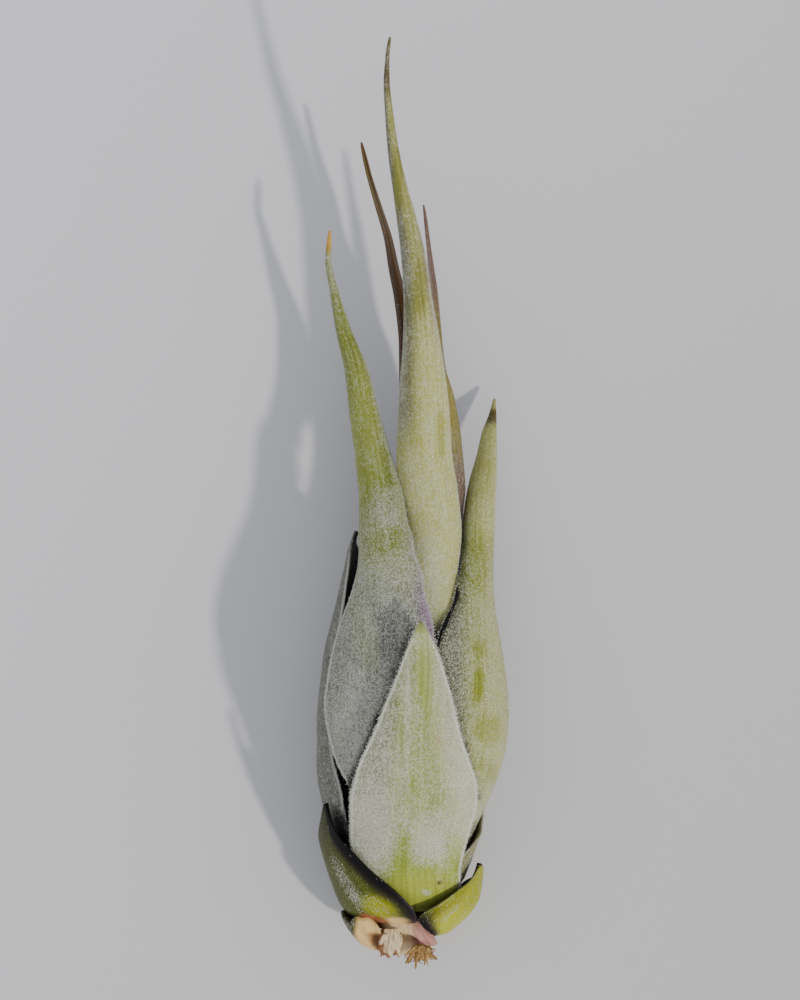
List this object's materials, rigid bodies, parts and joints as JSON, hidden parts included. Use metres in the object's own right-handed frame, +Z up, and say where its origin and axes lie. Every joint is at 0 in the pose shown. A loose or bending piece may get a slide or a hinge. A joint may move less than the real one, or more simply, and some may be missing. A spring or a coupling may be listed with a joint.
{
  "type": "air plant (Tillandsia paucifolia)",
  "caption": "Bare silver-green air plant with a slim bulb of clasping leaves and long tapering tips, lying on its side.",
  "frame": {"origin": "on the surface that the plant lies on, under the middle of its bounding box", "axes": "+Y from the foot to the tip of the tallest leaf, +Z up from the surface, +X to the right seen from above"},
  "size_m": [0.0251, 0.1204, 0.0243],
  "materials": {
    "silver_leaf": "matt, silver scales over green",
    "green_bract": "satin green with silver streaks",
    "stem_flesh": "matt cream and pink",
    "dry_scale": "matt, dry",
    "root_wood": "rough and fibrous"
  },
  "bodies": {
    "root": {"leaf_front_short": "silver_leaf", "leaf_under_short": "silver_leaf", "leaf_left_long": "silver_leaf", "leaf_centre_tall": "silver_leaf", "leaf_right_long": "silver_leaf", "leaf_left_short": "silver_leaf", "leaf_right_under_short": "silver_leaf", "leaf_back_right_long": "silver_leaf", "leaf_back_left_long": "silver_leaf", "bract_left": "green_bract", "bract_right": "green_bract", "bract_torn": "green_bract", "stem": "stem_flesh", "dry_scale": "dry_scale", "root_stub": "root_wood"}
  },
  "joints": []
}
